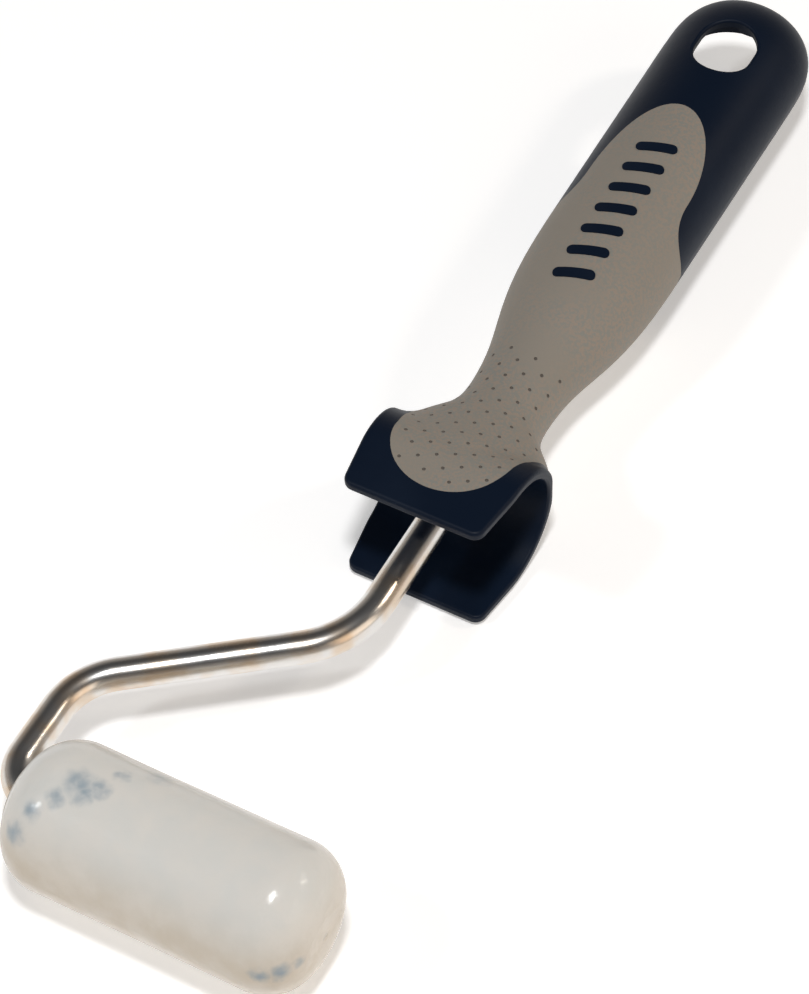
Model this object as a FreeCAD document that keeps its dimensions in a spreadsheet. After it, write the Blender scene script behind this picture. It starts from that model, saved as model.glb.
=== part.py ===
"""Small hand roller: white roller on a bent wire frame, two-material handle with a hanging hood.

Construction axes: X along the roller's spindle, Y along the handle away from the roller, Z up.
The wire lies in the plane Z = 0 while the pieces are drawn. Every sub-part then gets the same
placement, which puts the origin on the ground under the middle of the whole object.
"""
import FreeCAD, Part
import math
import os

import Sketcher
from FreeCAD import Placement, Rotation, Vector

os.makedirs("parts", exist_ok=True)
doc = FreeCAD.newDocument("HandRoller")

# ---------------------------------------------------------------- driving dimensions (mm)
SIZES = {
    # roller cover: a soft sleeve with one closed end, both ends well rounded
    "cover_radius": 13.7,
    "cover_length": 58.6,
    "cover_start": -34.0,
    "cover_round": 9.0,
    "cover_mouth_radius": 5.6,
    # hard core inside the cover
    "core_radius": 8.5,
    "core_bore": 6.6,
    "core_start": -26.0,
    "core_length": 40.0,
    "flange_thick": 1.2,
    "bush_length": 8.0,
    "running_gap": 0.05,
    "plug_length": 5.6,
    "plug_floor": 1.2,
    # pieces fixed on the spindle end of the wire
    "axial_gap": 0.2,
    "collar_radius": 4.6,
    "collar_length": 1.7,
    "washer_radius": 5.0,
    "washer_thick": 0.5,
    "nut_radius": 5.0,
    "nut_thick": 0.6,
    "nut_crown_radius": 4.1,
    "nut_crown": 0.9,
    "nut_slot": 0.8,
    # bent wire
    "wire_radius": 3.0,
    "wire_leg_x": -38.4,
    "wire_low_y": 25.0,
    "wire_high_y": 54.3,
    "wire_top_y": 150.0,
    "wire_end_x": 18.4,
    "bend_tight": 7.5,
    "bend_low": 14.0,
    "bend_high": 19.0,
    # hood: two flat plates joined by a round crown
    "hood_tip_y": 75.2,
    "hood_centre_y": 87.0,
    "hood_depth": 13.4,
    "hood_wall": 2.0,
    "hood_tip_half": 13.6,
    "hood_bow_half": 15.1,
    "hood_bow_y": 86.0,
    "hood_wide_half": 15.8,
    "hood_wide_y": 99.8,
    "hood_neck_half": 10.6,
    "hood_neck_y": 105.0,
    "hood_outer_round": 0.7,
    "hood_inner_round": 0.5,
    "crease_round": 8.0,
    # handle
    "grip_depth": 11.2,
    "skin_thick": 1.4,
    "inlay_thick": 0.9,
    "cap_start_y": 207.5,
    "cap_length": 15.7,
    "cap_power": 2.5,
    "tail_half": 14.3,
    "tail_wall": 1.8,
    "tail_back_z": -2.5,
    "tail_back_start_y": 194.0,
    "belly_end_y": 156.0,
    "belly_back_z": -12.2,
    "tail_back_bend": 40.0,
    "pocket_start_y": 190.0,
    "hole_y": 204.2,
    "hole_radius": 5.7,
    "hole_stretch": 1.2,
    "hole_round": 0.5,
    # soft grip outline and the plain bars that show through it
    "lobe_y": 92.3,
    "lobe_radius": 11.5,
    "lobe_top_half": 12.4,
    "lobe_top_y": 98.5,
    "grip_side_y": 101.5,
    "grip_side_half": 13.6,
    "grip_full_y": 106.0,
    "grip_reach": 22.0,
    "grip_flare_y": 152.0,
    "grip_waist_y": 155.0,
    "grip_waist_half": 13.4,
    "grip_inward_y": 159.0,
    "grip_back_y": 149.0,
    "grip_back_z": -12.5,
    "grip_back_top_y": 157.5,
    "oval_y": 166.0,
    "oval_half": 10.3,
    "oval_length": 20.0,
    "bar_first_y": 139.0,
    "bar_pitch": 5.8,
    "bar_half_width": 1.1,
    "bar_half_length": 4.0,
    "bar_proud": 0.2,
    "bar_floor": 4.0,
}
BAR_COUNT = 7
BAR_SLANT = 18.0
FAR = 40.0  # reach of every cutting prism past the pieces it cuts
ON_SURFACE = 0.05  # how near a surface the middle of an edge on it lies
ALONG = 0.99  # least share of an edge's direction that counts as running along an axis
EDGE_MARGIN = 0.5  # how far inside the hood's outline its inner edges may lie
HOOD_CORNERS = (2.2, 30.0, 1.6)  # corner radii of the hood's top view, from its tip to its neck
OPEN_Y = 60.0  # where tools that open the hood and the wire socket start, well before the handle
PAST_END_Y = 240.0  # past the handle's far end

# Handle sections: place along Y, half width and half depth of the oval there.
HANDLE_SECTIONS = (
    (88.0, 15.0, 12.9),
    (93.0, 15.5, 12.1),
    (97.0, 15.6, 10.8),
    (100.0, 15.2, 9.7),
    (102.0, 13.9, 9.15),
    (104.0, 12.1, 8.65),
    (106.0, 10.2, 8.2),
    (108.5, 8.9, 7.75),
    (112.0, 8.4, 7.3),
    (116.0, 8.5, 7.25),
    (122.0, 9.2, 7.9),
    (130.0, 11.1, 9.4),
    (138.0, 12.75, 10.6),
    (148.0, 13.7, 11.1),
    (160.0, 13.95, 11.2),
    (172.0, 14.05, 11.2),
    (184.0, 14.15, 11.2),
    (196.0, 14.25, 11.2),
)
CAP_STEPS = (0.0, 0.33, 0.62, 0.84, 0.96)

sheet = doc.addObject("Spreadsheet::Sheet", "Sizes")
for row, (alias, value) in enumerate(SIZES.items(), start=1):
    sheet.set(f"A{row}", alias)
    sheet.set(f"B{row}", str(value))
    sheet.setAlias(f"B{row}", alias)
doc.recompute()


def size(alias):
    """A driving dimension, read back from the sheet."""
    return float(getattr(sheet, alias))


# ---------------------------------------------------------------- drawing helpers
def new_body(name):
    """An empty body whose label names its file."""
    body = doc.addObject("PartDesign::Body", name)
    body.Label = name
    return body


def origin_plane(body, role):
    """One of a body's own origin planes."""
    for feature in body.Origin.OriginFeatures:
        if feature.Role == role:
            return feature
    raise ValueError(role)


def attached_sketch(body, name, role, offset=None):
    """An empty sketch on an origin plane, moved along the plane's normal by an expression."""
    sketch = body.newObject("Sketcher::SketchObject", name)
    sketch.AttachmentSupport = (origin_plane(body, role), "")
    sketch.MapMode = "FlatFace"
    if offset:
        sketch.setExpression("AttachmentOffset.Base.z", offset)
    return sketch


def disc_sketch(body, name, radius, start):
    """A circle about the spindle axis, at the distance start along X."""
    sketch = attached_sketch(body, name, "YZ_Plane", start)
    sketch.addGeometry(Part.Circle(Vector(0, 0, 0), Vector(0, 0, 1), 5.0), False)
    sketch.addConstraint(Sketcher.Constraint("Coincident", 0, 3, -1, 1))
    sketch.addConstraint(Sketcher.Constraint("Radius", 0, 5.0))
    sketch.renameConstraint(1, "radius")
    sketch.setExpression("Constraints.radius", radius)
    return sketch


def turned_pad(body, name, radius, start, length):
    """A disc of material about the spindle axis."""
    sketch = disc_sketch(body, name + "_circle", radius, start)
    pad = body.newObject("PartDesign::Pad", name)
    pad.Profile = sketch
    pad.setExpression("Length", length)
    doc.recompute()
    return pad


def turned_pocket(body, name, radius, start, length):
    """A round hole about the spindle axis, from start towards +X."""
    sketch = disc_sketch(body, name + "_circle", radius, start)
    before = body.Shape.Volume
    pocket = body.newObject("PartDesign::Pocket", name)
    pocket.Profile = sketch
    pocket.Reversed = True
    pocket.setExpression("Length", length)
    doc.recompute()
    if body.Shape.Volume > before - 0.01:
        raise RuntimeError(f"{name} cut nothing")
    return pocket


def turned_body(name, pads, pockets):
    """A turned piece: pads and pockets given as (radius, start, length) expressions."""
    body = new_body(name)
    for number, (radius, start, length) in enumerate(pads, start=1):
        turned_pad(body, f"{name}_pad{number}", radius, start, length)
    for number, (radius, start, length) in enumerate(pockets, start=1):
        turned_pocket(body, f"{name}_bore{number}", radius, start, length)
    return body


def corner_arc(before, corner, after, radius):
    """The arc that rounds one corner: its start, middle and end points."""
    to_before = (before - corner).normalize()
    to_after = (after - corner).normalize()
    half_angle = to_before.getAngle(to_after) / 2
    tangent = radius / math.tan(half_angle)
    bisector = (to_before + to_after).normalize()
    centre = corner + bisector * (radius / math.sin(half_angle))
    return corner + to_before * tangent, centre - bisector * radius, corner + to_after * tangent


def rounded_path(points, closed):
    """Line and arc curves through (x, y, corner radius) points."""
    places = [Vector(x, y, 0) for x, y, _ in points]
    count = len(points)
    stops = []
    for index, (_, _, radius) in enumerate(points):
        at_end = not closed and index in (0, count - 1)
        if radius and not at_end:
            stops.append(corner_arc(places[index - 1], places[index], places[(index + 1) % count], radius))
        else:
            stops.append((places[index],) * 3)
    curves = []
    for index in range(count if closed else count - 1):
        following = stops[(index + 1) % count]
        if (following[0] - stops[index][2]).Length > 1e-6:
            curves.append(Part.LineSegment(stops[index][2], following[0]))
        if (following[2] - following[0]).Length > 1e-6:
            curves.append(Part.Arc(*following))
    return curves


def free_sketch(name, placement, curves):
    """A sketch outside any body, drawn on the plane of its placement."""
    sketch = doc.addObject("Sketcher::SketchObject", name)
    sketch.Placement = placement
    for curve in curves:
        sketch.addGeometry(curve, False)
    return sketch


TOP_PLANE = Placement()
SIDE_PLANE = Placement(Vector(0, 0, 0), Rotation(Vector(1, 1, 1), 120.0))  # sketch x, y are Y, Z


def prism(name, sketch, direction, forward, backward):
    """A sketch pushed both ways along a direction."""
    solid = doc.addObject("Part::Extrusion", name)
    solid.Base = sketch
    solid.DirMode = "Custom"
    solid.Dir = direction
    solid.LengthFwd = forward
    solid.LengthRev = backward
    solid.Solid = True
    return solid


def boolean(kind, name, base, tool):
    """Cut or Common of two solids."""
    result = doc.addObject(f"Part::{kind}", name)
    result.Base = base
    result.Tool = tool
    return result


def fusion(name, shapes):
    """The union of several solids."""
    result = doc.addObject("Part::MultiFuse", name)
    result.Shapes = shapes
    result.Refine = True
    return result


# ---------------------------------------------------------------- roller
def roller_cover():
    """Soft white sleeve: rounded ends, a mouth at the wire side and a blind end."""
    body = new_body("roller_cover")
    blank = turned_pad(body, "cover_blank", "Sizes.cover_radius", "Sizes.cover_start", "Sizes.cover_length")
    rims = [
        f"Edge{number}"
        for number, edge in enumerate(body.Shape.Edges, start=1)
        if isinstance(edge.Curve, Part.Circle)
    ]
    rounding = body.newObject("PartDesign::Fillet", "cover_rounding")
    rounding.Base = (blank, rims)
    rounding.setExpression("Radius", "Sizes.cover_round")
    doc.recompute()
    seat = "Sizes.core_start - Sizes.flange_thick"
    turned_pocket(
        body, "cover_mouth", "Sizes.cover_mouth_radius", "Sizes.cover_start",
        f"{seat} - Sizes.cover_start",
    )
    turned_pocket(
        body, "cover_socket", "Sizes.core_radius", seat,
        "Sizes.core_length + 2 * Sizes.flange_thick + Sizes.plug_length",
    )
    return body


def core_tube():
    """Hard tube that carries the cover."""
    span = ("Sizes.core_start", "Sizes.core_length")
    return turned_body("core_tube", [("Sizes.core_radius", *span)], [("Sizes.core_bore", *span)])


def flanged_bush(name, flange_start, sleeve_start, bore_start):
    """Plain bearing: a flange against the tube's end and a sleeve pressed inside it."""
    flange = ("Sizes.core_radius", flange_start, "Sizes.flange_thick")
    sleeve = ("Sizes.core_bore", sleeve_start, "Sizes.bush_length")
    bore = ("Sizes.wire_radius + Sizes.running_gap", bore_start, "Sizes.flange_thick + Sizes.bush_length")
    return turned_body(name, [flange, sleeve], [bore])


def end_plug():
    """Cup that closes the far end of the core under the blind end of the cover."""
    start = "Sizes.core_start + Sizes.core_length + Sizes.flange_thick"
    outside = ("Sizes.core_radius", start, "Sizes.plug_length")
    inside = ("Sizes.core_bore", start, "Sizes.plug_length - Sizes.plug_floor")
    return turned_body("end_plug", [outside], [inside])


# ---------------------------------------------------------------- spindle hardware
def wire_ring(name, radius, start, length):
    """A ring pressed on the straight end of the wire."""
    return turned_body(name, [(radius, start, length)], [("Sizes.wire_radius", start, length)])


def push_nut(start):
    """Spring nut: thin rim, raised crown and four slots that let it bite on the wire."""
    crown_length = "Sizes.nut_thick + Sizes.nut_crown"
    body = turned_body(
        "push_nut",
        [("Sizes.nut_radius", start, "Sizes.nut_thick"), ("Sizes.nut_crown_radius", start, crown_length)],
        [("Sizes.wire_radius", start, crown_length)],
    )
    sketch = attached_sketch(body, "nut_slot_outline", "YZ_Plane", f"{start} + Sizes.nut_thick")
    reach = size("nut_crown_radius") + 0.4
    half = size("nut_slot") / 2
    corners = [(0.0, -half, 0), (reach, -half, 0), (reach, half, 0), (0.0, half, 0)]
    for curve in rounded_path(corners, closed=True):
        sketch.addGeometry(curve, False)
    slot = body.newObject("PartDesign::Pocket", "nut_slot_cut")
    slot.Profile = sketch
    slot.Reversed = True
    slot.setExpression("Length", "Sizes.nut_crown")
    doc.recompute()
    before = body.Shape.Volume
    ring = body.newObject("PartDesign::PolarPattern", "nut_slots")
    ring.Originals = [slot]
    ring.Axis = (sketch, ["N_Axis"])
    ring.Angle = 360.0
    ring.Occurrences = 4
    body.Tip = ring
    doc.recompute()
    if body.Shape.Volume > before - 0.01:
        raise RuntimeError("nut slots cut nothing")
    return body


def wire_frame():
    """Round wire: straight in the handle, two open bends, then a tight bend into the spindle."""
    body = new_body("wire_frame")
    route = attached_sketch(body, "wire_route", "XY_Plane")
    corners = [
        (0.0, size("wire_top_y"), 0),
        (0.0, size("wire_high_y"), size("bend_high")),
        (size("wire_leg_x"), size("wire_low_y"), size("bend_low")),
        (size("wire_leg_x"), 0.0, size("bend_tight")),
        (size("wire_end_x"), 0.0, 0),
    ]
    for curve in rounded_path(corners, closed=False):
        route.addGeometry(curve, False)
    section = attached_sketch(body, "wire_section", "XZ_Plane", "-Sizes.wire_top_y")
    radius = size("wire_radius")
    section.addGeometry(Part.Circle(Vector(0, 0, 0), Vector(0, 0, 1), radius), False)
    section.addConstraint(Sketcher.Constraint("Coincident", 0, 3, -1, 1))
    section.addConstraint(Sketcher.Constraint("Radius", 0, radius))
    section.renameConstraint(1, "radius")
    section.setExpression("Constraints.radius", "Sizes.wire_radius")
    doc.recompute()
    pipe = body.newObject("PartDesign::AdditivePipe", "wire_pipe")
    pipe.Profile = section
    pipe.Spine = (route, [])
    doc.recompute()
    return body


# ---------------------------------------------------------------- handle
def oval_section(name, place, half_width, half_depth):
    """One oval across the handle, with sizes given as expressions."""
    oval = doc.addObject("Part::Ellipse", name)
    oval.Placement = Placement(Vector(0, place, 0), Rotation(Vector(1, 0, 0), 90.0))
    oval.setExpression("MajorRadius", half_width)
    oval.setExpression("MinorRadius", half_depth)
    return oval


def handle_loft(name, inset, cap_inset):
    """The handle's oval body, every section made smaller all round by the inset expression."""
    sections = []
    for number, (place, half_width, half_depth) in enumerate(HANDLE_SECTIONS):
        width = f"{half_width} - ({inset})"
        depth = f"{half_depth} - ({inset})"
        sections.append(oval_section(f"{name}_oval{number}", place, width, depth))
    cap_length = size("cap_length") - cap_inset
    for number, step in enumerate(CAP_STEPS):
        share = (1.0 - step ** size("cap_power")) ** (1.0 / size("cap_power"))
        sections.append(
            oval_section(
                f"{name}_cap{number}",
                size("cap_start_y") + step * cap_length,
                f"{share} * (Sizes.tail_half - ({inset}))",
                f"{share} * (Sizes.grip_depth - ({inset}))",
            )
        )
    loft = doc.addObject("Part::Loft", name)
    loft.Sections = sections
    loft.Solid = True
    loft.Ruled = False
    return loft


def hood_side(name, depth):
    """Side view of the hood, filled: flat plates that run into a half-round crown."""
    centre = size("hood_centre_y")
    top = Vector(centre, depth, 0)
    bottom = Vector(centre, -depth, 0)
    curves = [
        Part.LineSegment(Vector(OPEN_Y, depth, 0), top),
        Part.Arc(top, Vector(centre + depth, 0, 0), bottom),
        Part.LineSegment(bottom, Vector(OPEN_Y, -depth, 0)),
        Part.LineSegment(Vector(OPEN_Y, -depth, 0), Vector(OPEN_Y, depth, 0)),
    ]
    sketch = free_sketch(name + "_outline", SIDE_PLANE, curves)
    return prism(name, sketch, Vector(1, 0, 0), FAR, FAR)


def hood_plan(name, inset):
    """Top view of the hood: narrow tip, bowed sides, then a sloping fall to the neck."""
    tip_corner, bow_corner, shoulder_corner = HOOD_CORNERS
    right = [
        (size("hood_tip_half") - inset, size("hood_tip_y"), tip_corner),
        (size("hood_bow_half") - inset, size("hood_bow_y"), bow_corner),
        (size("hood_wide_half") - inset, size("hood_wide_y") - inset, shoulder_corner),
        (size("hood_neck_half") - inset, size("hood_neck_y") - inset, 0),
    ]
    left = [(-x, y, radius) for x, y, radius in reversed(right)]
    sketch = free_sketch(name + "_outline", TOP_PLANE, rounded_path(right + left, closed=True))
    return prism(name, sketch, Vector(0, 0, 1), FAR, FAR)


def filleted(name, base, radius, wanted):
    """The base with a round on each edge whose middle point and direction the test accepts."""
    doc.recompute()
    picked = []
    for number, edge in enumerate(base.Shape.Edges, start=1):
        middle = (edge.FirstParameter + edge.LastParameter) / 2
        if wanted(edge.valueAt(middle), edge.tangentAt(middle)):
            picked.append((number, radius, radius))
    if not picked:
        raise RuntimeError(f"{name} found no edges")
    fillet = doc.addObject("Part::Fillet", name)
    fillet.Base = base
    fillet.Edges = picked
    return fillet


def on_plate_seam(point, direction):
    """Whether an edge is the smooth seam between a plate and the crown."""
    return abs(direction.x) > ALONG and abs(point.y - size("hood_centre_y")) < ON_SURFACE


def hood_block():
    """The filled hood with its outer edges rounded."""
    sides = hood_side("hood_sides", size("hood_depth"))
    block = boolean("Common", "hood_blank", sides, hood_plan("hood_top", 0))

    def outer_edge(point, direction):
        return abs(direction.z) < ALONG and not on_plate_seam(point, direction)

    return filleted("hood_block", block, size("hood_outer_round"), outer_edge)


def crown_crease(point, _direction):
    """Whether an edge is the hollow crease between the hood's crown and the neck."""
    past_centre = point.y - size("hood_centre_y")
    on_crown = abs(math.hypot(past_centre, point.z) - size("hood_depth")) < ON_SURFACE
    return on_crown and past_centre > 1.0 and abs(point.x) < size("hood_tip_half")


def hood_inner_edges(name, base):
    """Small rounds on the inner edges of the hood's plates and crown."""
    inner_depth = size("hood_depth") - size("hood_wall")
    tip_edge = size("hood_tip_y") + EDGE_MARGIN
    side_edge = size("hood_tip_half") - EDGE_MARGIN

    def inner_edge(point, direction):
        past_centre = max(point.y - size("hood_centre_y"), 0.0)
        on_inside = abs(math.hypot(past_centre, point.z) - inner_depth) < ON_SURFACE
        at_side = abs(point.x) > side_edge or point.y < tip_edge
        return on_inside and at_side and not on_plate_seam(point, direction)

    return filleted(name, base, size("hood_inner_round"), inner_edge)


def grip_zone():
    """Top view of the soft grip: round lobe on the hood, full width at the neck, oval on the back."""
    lobe_y, lobe_radius = size("lobe_y"), size("lobe_radius")
    oval_y, oval_half, oval_length = size("oval_y"), size("oval_half"), size("oval_length")
    side_points = [
        Vector(lobe_radius, lobe_y, 0),
        Vector(size("lobe_top_half"), size("lobe_top_y"), 0),
        Vector(size("grip_side_half"), size("grip_side_y"), 0),
        Vector(size("grip_reach"), size("grip_full_y"), 0),
        Vector(size("grip_reach"), size("grip_flare_y"), 0),
    ]
    oval_top = Vector(0, oval_y + oval_length, 0)
    oval = Part.Ellipse(oval_top, Vector(oval_half, oval_y, 0), Vector(0, oval_y, 0))
    lobe_bottom = Vector(0, lobe_y - lobe_radius, 0)
    curves = [Part.Arc(mirrored(side_points[0]), lobe_bottom, side_points[0])]
    for start, end in zip(side_points, side_points[1:]):
        curves.append(Part.LineSegment(start, end))
        curves.append(Part.LineSegment(mirrored(start), mirrored(end)))
    for side in (1.0, -1.0):
        curves.append(flare_curve(side))
    curves.append(Part.ArcOfEllipse(oval, -math.pi / 2, math.pi / 2))
    sketch = free_sketch("grip_zone_outline", TOP_PLANE, curves)
    return prism("grip_zone", sketch, Vector(0, 0, 1), FAR, FAR)


def mirrored(point):
    """The same point on the other side of the handle."""
    return Vector(-point.x, point.y, point.z)


def flare_curve(side):
    """The hollow curve that carries the grip's edge from the handle's side in to the oval."""
    curve = Part.BezierCurve()
    poles = [
        (size("grip_reach"), size("grip_flare_y")),
        (size("grip_waist_half"), size("grip_waist_y")),
        (size("oval_half"), size("grip_inward_y")),
        (size("oval_half"), size("oval_y")),
    ]
    curve.setPoles([Vector(side * x, y, 0) for x, y in poles])
    return curve.toBSpline()


def grip_back_limit():
    """Side view of the room kept free of soft grip: it stops short on the back of the handle."""
    back_y = size("grip_back_y")
    corners = [
        (size("grip_back_top_y"), 1.0, 0),
        (back_y, size("grip_back_z"), 0),
        (back_y, -FAR, 0),
        (PAST_END_Y, -FAR, 0),
        (PAST_END_Y, 1.0, 0),
    ]
    sketch = free_sketch("grip_back_outline", SIDE_PLANE, rounded_path(corners, closed=True))
    return prism("grip_back_limit", sketch, Vector(1, 0, 0), FAR, FAR)


def bar_prisms():
    """Plain slanted bars with round ends, in a row along the front of the grip."""
    bars = []
    half_width, half_length = size("bar_half_width"), size("bar_half_length")
    end_round = 0.95 * half_width
    for number in range(BAR_COUNT):
        corners = [
            (-half_length, -half_width, end_round),
            (half_length, -half_width, end_round),
            (half_length, half_width, end_round),
            (-half_length, half_width, end_round),
        ]
        place = Vector(0, size("bar_first_y") + number * size("bar_pitch"), 0)
        placement = Placement(place, Rotation(Vector(0, 0, 1), BAR_SLANT))
        sketch = free_sketch(f"bar{number}_outline", placement, rounded_path(corners, closed=True))
        bars.append(prism(f"bar{number}", sketch, Vector(0, 0, 1), FAR, -size("bar_floor")))
    return bars


def tail_relief():
    """Everything behind the tail's flat back: a long rise from the belly, then level."""
    back = size("tail_back_z")
    corners = [
        (size("belly_end_y"), size("belly_back_z"), 0),
        (size("tail_back_start_y"), back, size("tail_back_bend")),
        (PAST_END_Y, back, 0),
        (PAST_END_Y, -FAR, 0),
        (size("belly_end_y"), -FAR, 0),
    ]
    sketch = free_sketch("tail_relief_outline", SIDE_PLANE, rounded_path(corners, closed=True))
    return prism("tail_relief", sketch, Vector(1, 0, 0), FAR, FAR)


def wire_socket():
    """The bore that holds the wire's straight end."""
    socket = doc.addObject("Part::Cylinder", "wire_socket")
    socket.setExpression("Radius", "Sizes.wire_radius")
    socket.Height = size("wire_top_y") - OPEN_Y
    socket.Placement = Placement(Vector(0, OPEN_Y, 0), Rotation(Vector(0, 0, 1), Vector(0, 1, 0)))
    return socket


def hang_hole():
    """The hanging hole's tool: round ends joined by short straight sides along the handle."""
    radius, stretch, place = size("hole_radius"), size("hole_stretch"), size("hole_y")
    low, high = place - stretch, place + stretch
    curves = [
        Part.Arc(Vector(-radius, low, 0), Vector(0, low - radius, 0), Vector(radius, low, 0)),
        Part.LineSegment(Vector(radius, low, 0), Vector(radius, high, 0)),
        Part.Arc(Vector(radius, high, 0), Vector(0, high + radius, 0), Vector(-radius, high, 0)),
        Part.LineSegment(Vector(-radius, high, 0), Vector(-radius, low, 0)),
    ]
    sketch = free_sketch("hang_hole_outline", TOP_PLANE, curves)
    return prism("hang_hole", sketch, Vector(0, 0, 1), FAR, FAR)


def front_rim(point, direction):
    """Whether an edge belongs to the hanging hole's rim on the front of the tail."""
    past_end = max(abs(point.y - size("hole_y")) - size("hole_stretch"), 0.0)
    at_wall = abs(math.hypot(point.x, past_end) - size("hole_radius")) < 0.05
    return at_wall and abs(direction.z) < 0.9 and point.z > size("grip_depth") - size("tail_wall")


def tail_hollow():
    """Moulded hollow behind the hanging hole, open at the back."""
    inner = handle_loft("tail_inner", "Sizes.tail_wall", size("tail_wall"))
    window = doc.addObject("Part::Box", "tail_window")
    window.Length = 2 * FAR
    window.Width = FAR
    window.Height = FAR
    corner = Vector(-FAR, size("pocket_start_y"), size("tail_back_z") - FAR / 2)
    window.Placement = Placement(corner, Rotation())
    return boolean("Common", "tail_hollow", inner, window)


def handle_pieces():
    """The hard handle and the soft grip moulded over it."""
    creased = fusion("creased_envelope", [handle_loft("outer_loft", "0", 0.0), hood_block()])
    envelope = filleted("envelope", creased, size("crease_round"), crown_crease)
    inlay = size("inlay_thick")
    inner_sides = hood_side("inner_sides", size("hood_depth") - inlay)
    inner_hood = boolean("Common", "inner_hood", inner_sides, hood_plan("inner_top", inlay))
    inner = fusion(
        "under_skin", [handle_loft("inner_loft", "Sizes.skin_thick", size("skin_thick")), inner_hood]
    )
    bars = fusion("bars", bar_prisms())
    kept_out = fusion("skin_limits", [inner, grip_back_limit()])
    skin = boolean("Cut", "skin_blank", boolean("Common", "skin_outside", envelope, grip_zone()), kept_out)
    grip = boolean("Cut", "grip_overmould", skin, bars)

    proud = boolean("Common", "bars_proud", handle_loft("bar_loft", "-Sizes.bar_proud", 0.0), bars)
    hard = fusion("hard_blank", [boolean("Cut", "hard_outside", envelope, skin), proud])
    hood_hollow = hood_side("hood_inside", size("hood_depth") - size("hood_wall"))
    hollows = fusion("handle_hollows", [hood_hollow, tail_relief(), tail_hollow(), hang_hole()])
    opened = boolean("Cut", "hard_opened", hard, hollows)
    eased_hood = hood_inner_edges("hood_eased", opened)
    eased_hole = filleted("hole_eased", eased_hood, size("hole_round"), front_rim)
    body = boolean("Cut", "handle_body", eased_hole, wire_socket())
    return body, grip


# ---------------------------------------------------------------- assembly
core_far = "Sizes.core_start + Sizes.core_length"
far_sleeve = f"{core_far} - Sizes.bush_length"
inner_flange = "Sizes.core_start - Sizes.flange_thick"
washer_near = f"{inner_flange} - Sizes.axial_gap - Sizes.washer_thick"
collar_start = f"{washer_near} - Sizes.collar_length"
washer_far = f"{core_far} + Sizes.flange_thick + Sizes.axial_gap"
nut_start = f"{washer_far} + Sizes.washer_thick"

pieces = [
    roller_cover(),
    core_tube(),
    flanged_bush("near_bush", inner_flange, "Sizes.core_start", inner_flange),
    flanged_bush("far_bush", core_far, far_sleeve, far_sleeve),
    end_plug(),
    wire_frame(),
    wire_ring("stop_collar", "Sizes.collar_radius", collar_start, "Sizes.collar_length"),
    wire_ring("near_washer", "Sizes.washer_radius", washer_near, "Sizes.washer_thick"),
    wire_ring("far_washer", "Sizes.washer_radius", washer_far, "Sizes.washer_thick"),
    push_nut(nut_start),
]
pieces += handle_pieces()
doc.recompute()

left = size("wire_leg_x") - size("wire_radius")
right = size("cover_start") + size("cover_length")
near = -size("cover_radius")
far = size("cap_start_y") + size("cap_length") * CAP_STEPS[-1]
to_ground = Placement(Vector(-(left + right) / 2, -(near + far) / 2, size("cover_radius")), Rotation())
for piece in pieces:
    piece.Placement = to_ground.multiply(piece.Placement)
doc.recompute()

for item in doc.Objects:
    if "Invalid" in item.State or "Error" in item.State:
        raise RuntimeError(f"{item.Name} failed: {item.State}")
for piece in pieces:
    if piece.Shape.isNull() or not piece.Shape.isValid():
        raise RuntimeError(f"{piece.Label} has no valid shape")
for piece in pieces:
    piece.Label = piece.Name
    piece.Shape.exportStep(os.path.join("parts", piece.Label + ".step"))
    box = piece.Shape.BoundBox
    print(
        f"{piece.Label:15s} solids {len(piece.Shape.Solids)} volume {piece.Shape.Volume:9.1f} "
        f"x {box.XMin:7.2f} {box.XMax:7.2f} y {box.YMin:7.2f} {box.YMax:7.2f} "
        f"z {box.ZMin:6.2f} {box.ZMax:6.2f}"
    )
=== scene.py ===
"""Looks of the small hand roller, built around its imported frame.

Lengths inside the classes are in millimetres about the spindle's centre, with X along the
spindle, Y along the handle and Z up. Datum moves them into the frame's own metres.
"""

import logging
import math
from dataclasses import dataclass, field
from enum import Enum

import bmesh
import bpy
import numpy as np
from mathutils import Matrix, Vector
from mathutils.bvhtree import BVHTree
from mathutils.interpolate import poly_3d_calc
from mathutils.kdtree import KDTree


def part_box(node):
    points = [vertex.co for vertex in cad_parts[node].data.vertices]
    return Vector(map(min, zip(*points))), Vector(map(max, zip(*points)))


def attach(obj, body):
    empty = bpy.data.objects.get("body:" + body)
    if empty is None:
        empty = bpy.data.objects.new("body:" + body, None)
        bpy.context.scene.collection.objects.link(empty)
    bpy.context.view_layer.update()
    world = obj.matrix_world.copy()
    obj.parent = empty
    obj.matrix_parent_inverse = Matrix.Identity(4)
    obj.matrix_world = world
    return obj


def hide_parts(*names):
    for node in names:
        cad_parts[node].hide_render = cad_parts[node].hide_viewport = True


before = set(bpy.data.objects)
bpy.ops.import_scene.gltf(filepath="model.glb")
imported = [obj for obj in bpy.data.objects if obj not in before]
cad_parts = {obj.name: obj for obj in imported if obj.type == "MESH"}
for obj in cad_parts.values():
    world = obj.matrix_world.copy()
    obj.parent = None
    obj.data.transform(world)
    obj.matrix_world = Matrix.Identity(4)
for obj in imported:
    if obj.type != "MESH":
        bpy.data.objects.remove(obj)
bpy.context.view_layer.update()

log = logging.getLogger("hand_roller")

MM = 0.001
HOLLOW = "hollow"

class Body(Enum):
    """The frame's two moving bodies."""

    FRAME = "frame"
    ROLLER = "roller"


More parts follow.
